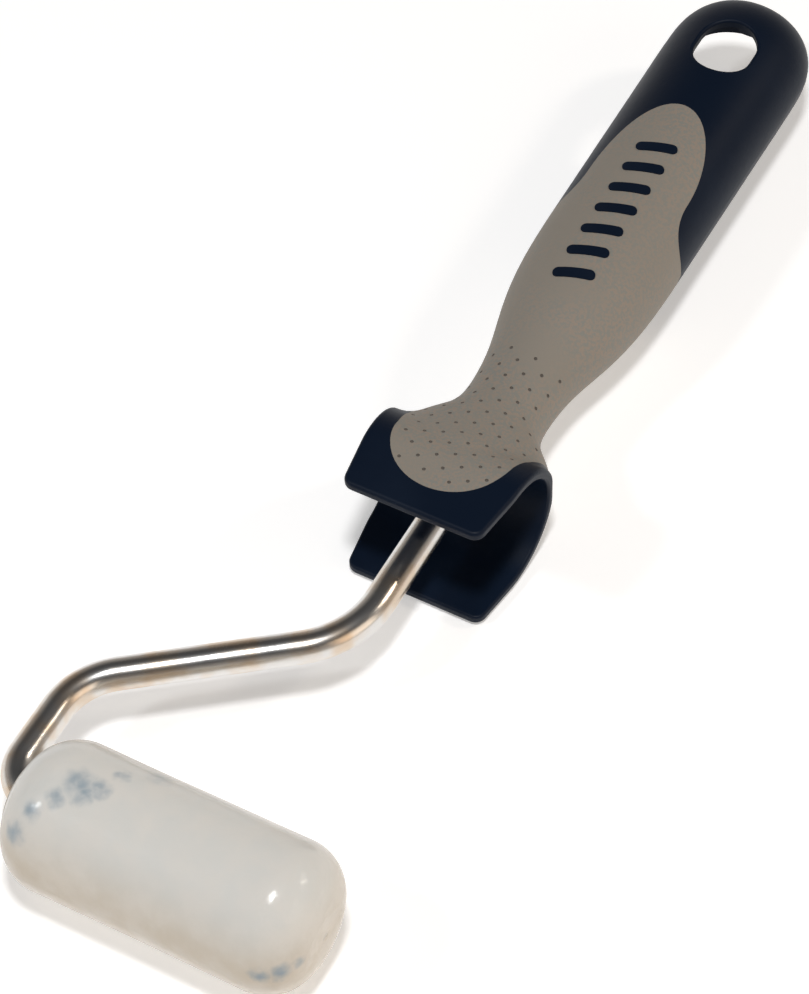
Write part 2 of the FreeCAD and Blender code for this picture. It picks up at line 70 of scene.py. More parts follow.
# ---------------------------------------------------------------- shared helpers
@dataclass(frozen=True)
class Datum:
    """Where the spindle's centre line and the handle's axis lie in the frame, in metres."""

    handle_x: float
    spindle_y: float
    spindle_z: float

    @classmethod
    def from_frame(cls) -> "Datum":
        """Reads the place of the roller and the handle from their boxes.

        Returns:
            The datum that every class below measures from.
        """
        roller_low, roller_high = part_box("roller_cover")
        handle_low, handle_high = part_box("handle_body")
        return cls(
            handle_x=(handle_low.x + handle_high.x) / 2,
            spindle_y=(roller_low.y + roller_high.y) / 2,
            spindle_z=(roller_low.z + roller_high.z) / 2,
        )

    def place(self, points: np.ndarray) -> np.ndarray:
        """Moves millimetre points about the spindle into the frame.

        Args:
            points: An array whose last axis is x, y, z in millimetres.

        Returns:
            The same points in the frame's metres.
        """
        origin = np.array([self.handle_x, self.spindle_y, self.spindle_z])
        return points * MM + origin

    def point(self, x: float, y: float, z: float) -> Vector:
        """One millimetre point about the spindle as a frame vector."""
        return Vector(self.place(np.array([x, y, z])))


def grid_faces(rows: int, columns: int, close_rows: bool, close_columns: bool) -> np.ndarray:
    """Quad corners of a grid whose vertex number is row * columns + column.

    Args:
        rows: Number of vertex rows.
        columns: Number of vertices in a row.
        close_rows: Whether the last row joins the first.
        close_columns: Whether the last column joins the first.

    Returns:
        An array of four vertex numbers for each face.
    """
    row_ids = np.arange(rows if close_rows else rows - 1)
    column_ids = np.arange(columns if close_columns else columns - 1)
    row, column = np.meshgrid(row_ids, column_ids, indexing="ij")
    next_row = (row + 1) % rows
    next_column = (column + 1) % columns
    corners = (
        row * columns + column,
        row * columns + next_column,
        next_row * columns + next_column,
        next_row * columns + column,
    )
    return np.stack(corners, axis=-1).reshape(-1, 4)


def mesh_object(
    name: str, points: np.ndarray, quads: np.ndarray, fans: list[np.ndarray]
) -> bpy.types.Object:
    """Puts vertices, quads and end caps into a smooth mesh object.

    Args:
        name: The piece's name.
        points: Vertices as an n by 3 array in metres.
        quads: Faces with four corners.
        fans: Triangles, as n by 3 arrays, that close the ends.

    Returns:
        The linked object, at the origin.
    """
    corners = [quads.reshape(-1)] + [fan.reshape(-1) for fan in fans]
    loops = np.concatenate(corners).astype(np.int32)
    sizes = [np.full(len(quads), 4)] + [np.full(len(fan), 3) for fan in fans]
    totals = np.concatenate(sizes).astype(np.int32)
    starts = np.concatenate([[0], np.cumsum(totals)[:-1]]).astype(np.int32)
    mesh = bpy.data.meshes.new(name)
    mesh.vertices.add(len(points))
    mesh.vertices.foreach_set("co", points.astype(np.float32).reshape(-1))
    mesh.loops.add(len(loops))
    mesh.loops.foreach_set("vertex_index", loops)
    mesh.polygons.add(len(totals))
    mesh.polygons.foreach_set("loop_start", starts)
    mesh.polygons.foreach_set("use_smooth", np.ones(len(totals), bool))
    mesh.update(calc_edges=True)
    mesh.validate()
    piece = bpy.data.objects.new(name, mesh)
    bpy.context.scene.collection.objects.link(piece)
    return piece


def revolved(profile: np.ndarray, segments: int) -> tuple[np.ndarray, np.ndarray]:
    """Carries a closed (x, radius) profile round the spindle: y = r cos a, z = r sin a.

    Args:
        profile: Points of a closed loop, as x and radius in millimetres.
        segments: Number of steps round the axis.

    Returns:
        The vertices in millimetres and the quads.
    """
    angle = np.linspace(0.0, 2 * math.pi, segments, endpoint=False)
    x = np.repeat(profile[:, :1], segments, axis=1)
    y = profile[:, 1:] * np.cos(angle)
    z = profile[:, 1:] * np.sin(angle)
    points = np.stack([x, y, z], axis=-1).reshape(-1, 3)
    return points, grid_faces(len(profile), segments, True, True)


class Nodes:
    """A short way to write a material's nodes."""

    def __init__(self, name: str) -> None:
        """Makes an empty node material.

        Args:
            name: The material's name.
        """
        self.material = bpy.data.materials.new(name)
        self.material.use_nodes = True
        self.tree = self.material.node_tree
        self.tree.nodes.clear()

    def add(self, kind: str, settings: dict | None = None, **sockets: object) -> bpy.types.Node:
        """Adds a node and fills or links its inputs.

        Args:
            kind: The node's type name.
            settings: Properties set on the node itself.
            **sockets: Inputs by name with spaces as underscores; an output socket is linked.

        Returns:
            The new node.
        """
        node = self.tree.nodes.new(kind)
        for key, value in (settings or {}).items():
            setattr(node, key, value)
        for key, value in sockets.items():
            self.fill(node, key.replace("_", " "), value)
        return node

    def fill(self, node: bpy.types.Node, key: str | int, value: object) -> None:
        """Sets one input to a value, or links an output to it.

        Args:
            node: The node whose input is set.
            key: The input's name or number.
            value: A plain value, or an output socket.
        """
        socket = node.inputs[key]
        if isinstance(value, bpy.types.NodeSocket):
            self.tree.links.new(value, socket)
        else:
            socket.default_value = value

    def maths(
        self, operation: str, first: object, second: object = 0.0, third: object = 0.0
    ) -> bpy.types.NodeSocket:
        """One Math node.

        Args:
            operation: The node's operation.
            first: First number or socket.
            second: Second number or socket.
            third: Third number or socket.

        Returns:
            The node's output.
        """
        node = self.tree.nodes.new("ShaderNodeMath")
        node.operation = operation
        for index, value in enumerate((first, second, third)):
            self.fill(node, index, value)
        return node.outputs[0]

    def position(self) -> bpy.types.NodeSocket:
        """Object coordinates in metres."""
        return self.add("ShaderNodeTexCoord").outputs["Object"]

    def stretched(self, centre: Vector, scale: tuple[float, float, float]) -> bpy.types.NodeSocket:
        """Object coordinates measured from a centre and multiplied axis by axis.

        Args:
            centre: The pattern's centre in the frame.
            scale: Factors along x, y and z.

        Returns:
            The moved and stretched coordinates.
        """
        moved = self.add("ShaderNodeVectorMath", {"operation": "SUBTRACT"})
        self.fill(moved, 0, self.position())
        self.fill(moved, 1, centre)
        grown = self.add("ShaderNodeVectorMath", {"operation": "MULTIPLY"})
        self.fill(grown, 0, moved.outputs[0])
        self.fill(grown, 1, scale)
        return grown.outputs[0]

    def noise(
        self, vector: bpy.types.NodeSocket, scale: float, detail: float = 3.0
    ) -> bpy.types.NodeSocket:
        """The factor of a noise texture on the given coordinates."""
        return self.add("ShaderNodeTexNoise", Vector=vector, Scale=scale, Detail=detail).outputs[0]

    def ramp(self, factor: bpy.types.NodeSocket, low: float, high: float) -> bpy.types.NodeSocket:
        """A smooth rise from 0 at low to 1 at high.

        Args:
            factor: The number that is compared.
            low: Where the result starts to rise.
            high: Where it reaches one.

        Returns:
            A number from 0 to 1.
        """
        node = self.add("ShaderNodeMapRange", {"interpolation_type": "SMOOTHSTEP"}, Value=factor)
        self.fill(node, "From Min", low)
        self.fill(node, "From Max", high)
        return node.outputs[0]

    def mix(self, factor: object, first: object, second: object) -> bpy.types.NodeSocket:
        """Two colours mixed by a factor.

        Args:
            factor: 0 for the first colour, 1 for the second.
            first: The first colour or socket.
            second: The second colour or socket.

        Returns:
            The mixed colour.
        """
        node = self.add("ShaderNodeMix", {"data_type": "RGBA"})
        self.fill(node, 0, factor)
        self.fill(node, 6, first)
        self.fill(node, 7, second)
        return node.outputs[2]

    def bump(
        self, height: bpy.types.NodeSocket, depth: float, strength: float = 1.0
    ) -> bpy.types.NodeSocket:
        """A bumped normal from a height.

        Args:
            height: The height pattern, from 0 to 1.
            depth: How far 1 stands above 0, in metres.
            strength: How much of the bump is used.

        Returns:
            The normal.
        """
        return self.add("ShaderNodeBump", Height=height, Distance=depth, Strength=strength).outputs[0]

    def finish(self, shader: bpy.types.Node) -> bpy.types.Material:
        """Links the shader to the material's output.

        Args:
            shader: The node that makes the surface.

        Returns:
            The finished material.
        """
        output = self.tree.nodes.new("ShaderNodeOutputMaterial")
        self.tree.links.new(shader.outputs[0], output.inputs["Surface"])
        return self.material


Colour = tuple[float, float, float, float]


# ---------------------------------------------------------------- finishes
@dataclass(frozen=True)
class HardPlastic:
    """Moulded plastic: fine grain, cloudy gloss."""

    name: str
    colour: Colour
    worn: Colour
    roughness: float = 0.42
    unevenness: float = 0.16
    cloud_scale: float = 60.0
    grain: float = 0.00003
    grain_scale: float = 1800.0
    shine: float = 0.35

    def build(self) -> bpy.types.Material:
        """Makes the material.

        Returns:
            A plastic with a faint grain and slightly uneven gloss.
        """
        nodes = Nodes(self.name)
        place = nodes.position()
        clouds = nodes.noise(place, self.cloud_scale)
        fine = nodes.noise(place, self.grain_scale, 2.0)
        dull = self.roughness - self.unevenness / 2
        gloss = nodes.maths("MULTIPLY_ADD", clouds, self.unevenness, dull)
        shader = nodes.add(
            "ShaderNodeBsdfPrincipled",
            Base_Color=nodes.mix(nodes.ramp(clouds, 0.45, 0.75), self.colour, self.worn),
            Roughness=gloss,
            Normal=nodes.bump(fine, self.grain, 0.5),
        )
        shader.inputs["Specular IOR Level"].default_value = self.shine
        return nodes.finish(shader)


@dataclass(frozen=True)
class SoftGrip:
    """Soft-touch rubber: matt, finely speckled, with painted shade darkening its pits."""

    name: str = "soft_grip"
    colour: Colour = (0.250, 0.226, 0.193, 1.0)
    warm: Colour = (0.278, 0.231, 0.190, 1.0)
    cool: Colour = (0.222, 0.221, 0.200, 1.0)
    # Painted shade for the faces inside the pits.
    shade: Colour = (0.120, 0.106, 0.092, 1.0)
    cloud_scale: float = 70.0
    speckle_scale: float = 1700.0
    speckle_height: float = 0.00004
    roughness: float = 0.56
    shine: float = 0.25

    def build(self) -> bpy.types.Material:
        """Makes the material.

        Returns:
            A matt rubber.
        """
        nodes = Nodes(self.name)
        place = nodes.position()
        broad = nodes.noise(place, self.cloud_scale, 4.0)
        speckle = nodes.noise(place, self.speckle_scale, 2.0)
        base = nodes.mix(nodes.ramp(speckle, 0.38, 0.62), self.cool, self.warm)
        tone = nodes.mix(nodes.ramp(broad, 0.35, 0.70), base, self.colour)
        # Painted shade: faces inside the pits are mixed towards the shade colour.
        hollow = nodes.add("ShaderNodeAttribute", {"attribute_name": HOLLOW}).outputs["Fac"]
        shader = nodes.add(
            "ShaderNodeBsdfPrincipled",
            Base_Color=nodes.mix(hollow, tone, self.shade),
            Roughness=nodes.maths("MULTIPLY_ADD", broad, 0.12, self.roughness),
            Normal=nodes.bump(speckle, self.speckle_height, 0.6),
        )
        shader.inputs["Specular IOR Level"].default_value = self.shine
        return nodes.finish(shader)


@dataclass(frozen=True)
class BrightWire:
    """Plated steel wire with faint drawing lines along it and a tan tarnish in places."""

    name: str = "bright_wire"
    colour: Colour = (0.71, 0.70, 0.685, 1.0)
    tarnish: Colour = (0.66, 0.55, 0.44, 1.0)
    roughness: float = 0.17
    cloud_scale: float = 140.0
    line_stretch: tuple[float, float, float] = (90.0, 3.0, 1.0)
    line_height: float = 0.00002

    def build(self) -> bpy.types.Material:
        """Makes the material.

        Returns:
            A bright metal whose lines follow the piece's own UV map.
        """
        nodes = Nodes(self.name)
        along = nodes.add("ShaderNodeUVMap", {"uv_map": "along"}).outputs[0]
        stretch = nodes.add("ShaderNodeVectorMath", {"operation": "MULTIPLY"})
        nodes.fill(stretch, 0, along)
        nodes.fill(stretch, 1, self.line_stretch)
        lines = nodes.noise(stretch.outputs[0], 1.0, 3.0)
        clouds = nodes.noise(nodes.position(), self.cloud_scale, 3.0)
        shader = nodes.add(
            "ShaderNodeBsdfPrincipled",
            Base_Color=nodes.mix(nodes.ramp(clouds, 0.40, 0.68), self.colour, self.tarnish),
            Metallic=1.0,
            Roughness=nodes.maths("MULTIPLY_ADD", clouds, 0.14, self.roughness),
            Normal=nodes.bump(lines, self.line_height, 0.35),
        )
        return nodes.finish(shader)


@dataclass(frozen=True)
class PlainSteel:
    """Small steel hardware, dull and finely scratched."""

    name: str = "plain_steel"
    colour: Colour = (0.52, 0.51, 0.50, 1.0)
    roughness: float = 0.25
    mark_scale: float = 900.0
    mark_height: float = 0.00002

    def build(self) -> bpy.types.Material:
        """Makes the material.

        Returns:
            A dull metal.
        """
        nodes = Nodes(self.name)
        marks = nodes.noise(nodes.position(), self.mark_scale, 4.0)
        shader = nodes.add(
            "ShaderNodeBsdfPrincipled",
            Base_Color=self.colour,
            Metallic=1.0,
            Roughness=nodes.maths("MULTIPLY_ADD", marks, 0.25, self.roughness),
            Normal=nodes.bump(marks, self.mark_height, 0.4),
        )
        return nodes.finish(shader)


@dataclass(frozen=True)
class Blot:
    """One old ink mark on the cover, placed along the spindle and round it."""

    along: float
    angle: float
    size: float
    strength: float = 1.0

    def place(self, radius: float) -> Vector:
        """The blot's centre about the spindle's middle, in metres.

        Args:
            radius: The cover's radius there, in millimetres.

        Returns:
            The centre on the cover's surface.
        """
        turn = math.radians(self.angle)
        return Vector((self.along, radius * math.cos(turn), radius * math.sin(turn))) * MM


INK_MARKS = (
    Blot(-21.6, 90.0, 2.9),
    Blot(-19.8, 97.0, 2.2),
    Blot(-23.6, 107.0, 2.0),
    Blot(-17.8, 88.0, 2.1, 0.9),
    Blot(-16.2, 68.0, 1.6, 0.8),
    Blot(-26.6, 123.0, 1.9, 0.9),
    Blot(-28.4, 143.0, 2.3, 0.9),
    Blot(-11.5, 52.0, 2.6, 0.5),
    Blot(19.6, 169.0, 1.9),
    Blot(22.3, 166.0, 2.1),
    Blot(24.0, 160.0, 1.4, 0.8),
    Blot(-24.0, 265.0, 3.0, 0.8),
    Blot(17.0, 285.0, 2.2, 0.7),
)


@dataclass(frozen=True)
class StainedRubber:
    """White rubber with ink marks near its ends, a faint dirt tint all over, and painted warm shade
    that turns it tan and darker low on its sides.

    The sizes about the spindle, start, end, radius and rounding, are the cover's, in millimetres.
    """

    centre: Vector
    radius: float
    start: float
    end: float
    rounding: float
    name: str = "white_rubber"
    colour: Colour = (0.735, 0.725, 0.695, 1.0)
    cloudy: Colour = (0.700, 0.708, 0.690, 1.0)
    # Tan used for a faint dirt tint everywhere and for painted warm shade low on the sides.
    soiled_shade: Colour = (0.50, 0.385, 0.245, 1.0)
    ink: Colour = (0.17, 0.27, 0.36, 1.0)
    ink_cover: float = 0.72
    ink_wander: float = 0.0026
    blot_spread: float = 1.35
    shade_start_height: float = 12.0
    shade_full_height: float = 1.5
    roughness: float = 0.17
    shine: float = 0.35

    def surface_radius(self, along: float) -> float:
        """The cover's radius at a place along it.

        Args:
            along: The place along the spindle, in millimetres.

        Returns:
            The full radius on the barrel, and less on the rounded shoulders.
        """
        inset = max(0.0, self.rounding - min(along - self.start, self.end - along))
        return self.radius - self.rounding + math.sqrt(self.rounding**2 - inset**2)

    def ink_mask(self, nodes: Nodes, local: bpy.types.NodeSocket) -> bpy.types.NodeSocket:
        """How much ink lies at each place: soft blots broken up by a noise.

        Args:
            nodes: The material's nodes.
            local: Coordinates about the spindle's middle.

        Returns:
            A number from 0 to 1.
        """
        wander = nodes.add("ShaderNodeTexNoise", Vector=local, Scale=420.0, Detail=3.0)
        shift = nodes.add("ShaderNodeVectorMath", {"operation": "MULTIPLY_ADD"})
        nodes.fill(shift, 0, wander.outputs["Color"])
        nodes.fill(shift, 1, (self.ink_wander,) * 3)
        nodes.fill(shift, 2, local)
        back = nodes.add("ShaderNodeVectorMath", {"operation": "SUBTRACT"})
        nodes.fill(back, 0, shift.outputs[0])
        nodes.fill(back, 1, (self.ink_wander / 2,) * 3)
        total = None
        for blot in INK_MARKS:
            gap = nodes.add("ShaderNodeVectorMath", {"operation": "DISTANCE"})
            nodes.fill(gap, 0, back.outputs[0])
            nodes.fill(gap, 1, blot.place(self.surface_radius(blot.along)))
            edge = nodes.ramp(gap.outputs["Value"], self.blot_spread * blot.size * MM, 0.0)
            soft = nodes.maths("MULTIPLY", edge, blot.strength)
            total = soft if total is None else nodes.maths("MAXIMUM", total, soft)
        broken = nodes.ramp(nodes.noise(local, 400.0, 2.0), 0.02, 0.62)
        return nodes.maths("MULTIPLY", total, broken)

    def build(self) -> bpy.types.Material:
        """Makes the material.

        Returns:
            A glossy white rubber with its marks in place.
        """
        nodes = Nodes(self.name)
        local = nodes.stretched(self.centre, (1.0, 1.0, 1.0))
        height = nodes.add("ShaderNodeSeparateXYZ", Vector=local).outputs[2]
        clouds = nodes.noise(local, 160.0, 5.0)
        # Painted warm shade: below the top the cover turns tan and darker towards the bottom, mottled
        # by the clouds; the small even share added everywhere is dirt.
        low = nodes.ramp(height, self.shade_start_height * MM, self.shade_full_height * MM)
        uneven = nodes.maths("MULTIPLY_ADD", nodes.ramp(clouds, 0.35, 0.65), 0.3, 0.7)
        dirt_and_shade = nodes.maths("MULTIPLY_ADD", nodes.maths("MULTIPLY", low, uneven), 0.55, 0.06)
        mottled = nodes.mix(nodes.ramp(clouds, 0.3, 0.7), self.colour, self.cloudy)
        soiled_and_shaded = nodes.mix(dirt_and_shade, mottled, self.soiled_shade)
        ink = nodes.maths("MULTIPLY", self.ink_mask(nodes, local), self.ink_cover)
        shader = nodes.add(
            "ShaderNodeBsdfPrincipled",
            Base_Color=nodes.mix(ink, soiled_and_shaded, self.ink),
            Roughness=nodes.maths("MULTIPLY_ADD", clouds, 0.10, self.roughness),
            Normal=nodes.bump(nodes.noise(local, 330.0, 2.0), 0.0003, 0.5),
        )
        shader.inputs["Specular IOR Level"].default_value = self.shine
        shader.inputs["Subsurface Weight"].default_value = 0.12
        shader.inputs["Subsurface Radius"].default_value = (1.0, 0.9, 0.8)
        shader.inputs["Subsurface Scale"].default_value = 0.0015
        return nodes.finish(shader)


def dress(node: str, material: bpy.types.Material) -> None:
    """Gives a frame node the material in every slot."""
    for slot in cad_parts[node].material_slots:
        slot.material = material


# ---------------------------------------------------------------- roller
@dataclass
class Roller:
    """The white cover and the parts inside it."""

    datum: Datum
    radius: float = 13.7
    start: float = -34.0
    length: float = 58.6
    rounding: float = 9.0
    mouth_radius: float = 5.6
    seat: float = -27.2
    socket_radius: float = 8.5
    socket_end: float = 20.8
    lip: float = 1.2
    waist: float = 0.18
    unevenness: float = 0.12
    segments: int = 128

    def profile(self) -> np.ndarray:
        """The cover's closed outline as x and radius.

        Returns:
            Straight runs joined by quarter circles: rounded shoulders outside, a rounded lip
            at the mouth, and the socket that holds the core.
        """
        end = self.start + self.length
        turn = np.linspace(0.0, math.pi / 2, 25)
        shoulder = self.radius - self.rounding
        left_shoulder = np.stack([
            self.start + self.rounding - self.rounding * np.cos(turn),
            shoulder + self.rounding * np.sin(turn),
        ], axis=1)
        barrel_x = np.linspace(self.start + self.rounding, end - self.rounding, 41)[1:-1]
        barrel = np.stack([barrel_x, np.full_like(barrel_x, self.radius)], axis=1)
        right_shoulder = np.stack([
            end - self.rounding + self.rounding * np.sin(turn),
            shoulder + self.rounding * np.cos(turn),
        ], axis=1)
        small = np.linspace(0.0, math.pi / 2, 7)
        lip_turn = np.stack([
            self.start + self.lip - self.lip * np.sin(small),
            self.mouth_radius + self.lip - self.lip * np.cos(small),
        ], axis=1)
        face = np.array([[end, shoulder * share] for share in (0.6, 0.25, 0.001)])
        inside = np.array([
            [self.socket_end, 0.001],
            [self.socket_end, self.socket_radius],
            [self.seat, self.socket_radius],
            [self.seat, self.mouth_radius],
        ])
        return np.concatenate([lip_turn, left_shoulder, barrel, right_shoulder, face, inside])

    def build(self) -> bpy.types.Object:
        """Makes the cover, a profile turned round the spindle with a very slight waist.

        The outside is scaled about the spindle by 1 - (waist (1 - s^2) - unevenness w) / radius,
        where s runs from -1 to 1 along the cover and w is a slow wave along and round it.

        Returns:
            The cover.
        """
        points, quads = revolved(self.profile(), self.segments)
        middle = self.start + self.length / 2
        share = (points[:, 0] - middle) / (self.length / 2)
        outside = np.hypot(points[:, 1], points[:, 2]) > self.socket_radius + 1.0
        angle = np.arctan2(points[:, 2], points[:, 1])
        wobble = 0.10 * np.sin(3 * angle + 5 * share) + 0.08 * np.cos(2 * angle - 7 * share)
        inward = self.waist * (1 - share**2) - self.unevenness * wobble
        scale = np.where(outside, 1.0 - inward / self.radius, 1.0)
        points[:, 1:] *= scale[:, None]
        cover = mesh_object("cover", self.datum.place(points), quads, [])
        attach(cover, Body.ROLLER.value)
        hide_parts("roller_cover")
        return cover

    def dress(self, cover: bpy.types.Object) -> None:
        """Gives the cover and the inner parts their finishes.

        Args:
            cover: The cover's object.
        """
        rubber = StainedRubber(
            centre=self.datum.point(0.0, 0.0, 0.0),
            radius=self.radius,
            start=self.start,
            end=self.start + self.length,
            rounding=self.rounding,
        )
        cover.data.materials.append(rubber.build())
        grey = HardPlastic("core_plastic", (0.40, 0.41, 0.42, 1.0), (0.44, 0.45, 0.46, 1.0)).build()
        nylon = HardPlastic("bearing_nylon", (0.72, 0.71, 0.66, 1.0), (0.66, 0.65, 0.60, 1.0)).build()
        for node in ("core_tube", "end_plug"):
            dress(node, grey)
        for node in ("near_bush", "far_bush"):
            dress(node, nylon)


# ---------------------------------------------------------------- wire
@dataclass
class WireFrame:
    """The bent wire and the rings on its spindle end."""

    datum: Datum
    radius: float = 3.0
    top_y: float = 150.0
    high_y: float = 54.3
    low_y: float = 25.0
    leg_x: float = -38.4
    end_x: float = 18.4
    bends: tuple[float, float, float] = (19.0, 14.0, 7.5)
    bevel: float = 0.5
    sides: int = 72

    def centre_line(self) -> tuple[np.ndarray, np.ndarray]:
        """The wire's middle: straight runs joined by tangent arcs in one flat plane.

        Returns:
            Points along the line, and the unit direction at each.
        """
        corners = np.array([
            [0.0, self.top_y], [0.0, self.high_y], [self.leg_x, self.low_y],
            [self.leg_x, 0.0], [self.end_x, 0.0],
        ])
        places = [np.linspace(corners[0], corners[0] + (0.0, -1.0), 2)]
        for before, corner, after, bend in zip(corners, corners[1:], corners[2:], self.bends):
            incoming = (corner - before) / np.linalg.norm(corner - before)
            outgoing = (after - corner) / np.linalg.norm(after - corner)
            turn = math.acos(float(np.clip(incoming @ outgoing, -1.0, 1.0)))
            tangent = bend * math.tan(turn / 2)
            inward = outgoing - incoming
            centre = corner + inward / np.linalg.norm(inward) * bend / math.cos(turn / 2)
            start = corner - incoming * tangent
            spoke = start - centre
            steps = np.linspace(0.0, turn, max(10, int(turn * bend * 1.5)))
            sense = math.copysign(1.0, incoming[0] * outgoing[1] - incoming[1] * outgoing[0])
            cosine, sine = np.cos(steps), np.sin(steps) * sense
            places.append(centre + np.stack([
                spoke[0] * cosine - spoke[1] * sine,
                spoke[0] * sine + spoke[1] * cosine,
            ], axis=1))
        places.append(np.linspace(corners[4] - (1.0, 0.0), corners[4], 2))
        line = self.filled(np.concatenate(places))
        step = np.gradient(line, axis=0)
        return line, step / np.linalg.norm(step, axis=1, keepdims=True)

    @staticmethod
    def filled(line: np.ndarray, spacing: float = 2.0) -> np.ndarray:
        """Adds points on long runs so that no step is longer than the spacing.

        Args:
            line: Points along the path.
            spacing: The longest step, in millimetres.

        Returns:
            The path with evenly filled runs.
        """
        steps = np.linalg.norm(np.diff(line, axis=0), axis=1)
        counts = np.maximum(1, np.ceil(steps / spacing)).astype(int)
        owner = np.repeat(np.arange(len(counts)), counts)
        first = np.cumsum(counts) - counts
        share = (np.arange(counts.sum()) - first[owner]) / counts[owner]
        inner = line[owner] + (line[owner + 1] - line[owner]) * share[:, None]
        return np.concatenate([inner, line[-1:]])

    def build(self) -> bpy.types.Object:
        """Makes the wire: a circle carried along the line, with a bevel at each end.

        Returns:
            The wire.
        """
        line, direction = self.centre_line()
        side = np.stack([direction[:, 1], -direction[:, 0], np.zeros(len(line))], axis=1)
        angle = np.linspace(0.0, 2 * math.pi, self.sides, endpoint=False)
        radii = np.full(len(line), self.radius)
        radii[0] = radii[-1] = self.radius - self.bevel
        cosine = np.cos(angle)[None, :, None]
        sine = np.sin(angle)[None, :, None]
        ring = side[:, None, :] * cosine + np.array([0.0, 0.0, 1.0]) * sine
        spine = np.concatenate([line, np.zeros((len(line), 1))], axis=1)
        points = spine[:, None, :] + ring * radii[:, None, None]
        quads = grid_faces(len(line), self.sides, False, True)
        columns = np.arange(self.sides)
        following = (columns + 1) % self.sides
        count = len(line) * self.sides
        first_fan = np.stack([following, columns, np.full(self.sides, count)], axis=1)
        last_row = (len(line) - 1) * self.sides
        last_hub = np.full(self.sides, count + 1)
        last_fan = np.stack([last_row + columns, last_row + following, last_hub], axis=1)
        points = np.concatenate([points.reshape(-1, 3), spine[[0, -1]]])
        wire = mesh_object("wire", self.datum.place(points), quads, [first_fan, last_fan])
        self.lay_uv(wire, line, angle)
        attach(wire, Body.FRAME.value)
        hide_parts("wire_frame")
        return wire

    def lay_uv(self, wire: bpy.types.Object, line: np.ndarray, angle: np.ndarray) -> None:
        """Writes a UV map: u round the wire from 0 to 1, v the length along it in centimetres.

        Args:
            wire: The wire's object.
            line: The centre line, one point for each ring.
            angle: The angle of each vertex in a ring.
        """
        steps = np.linalg.norm(np.diff(line, axis=0), axis=1)
        run = np.concatenate([[0.0], np.cumsum(steps)]) / 10.0
        round_share = np.abs(angle / math.pi - 1.0)
        spread = np.broadcast_arrays(round_share[None, :], run[:, None])
        corner_uv = np.stack(spread, axis=-1).reshape(-1, 2)
        corner_uv = np.concatenate([corner_uv, [[0.0, 0.0], [0.0, run[-1]]]])
        loops = np.empty(len(wire.data.loops), np.int32)
        wire.data.loops.foreach_get("vertex_index", loops)
        layer = wire.data.uv_layers.new(name="along")
        layer.data.foreach_set("uv", corner_uv[loops].astype(np.float32).reshape(-1))

    def dress(self, wire: bpy.types.Object) -> None:
        """Gives the wire and the small rings their finishes.

        Args:
            wire: The wire's object.
        """
        wire.data.materials.append(BrightWire().build())
        steel = PlainSteel().build()
        for node in ("stop_collar", "near_washer", "far_washer", "push_nut"):
            dress(node, steel)


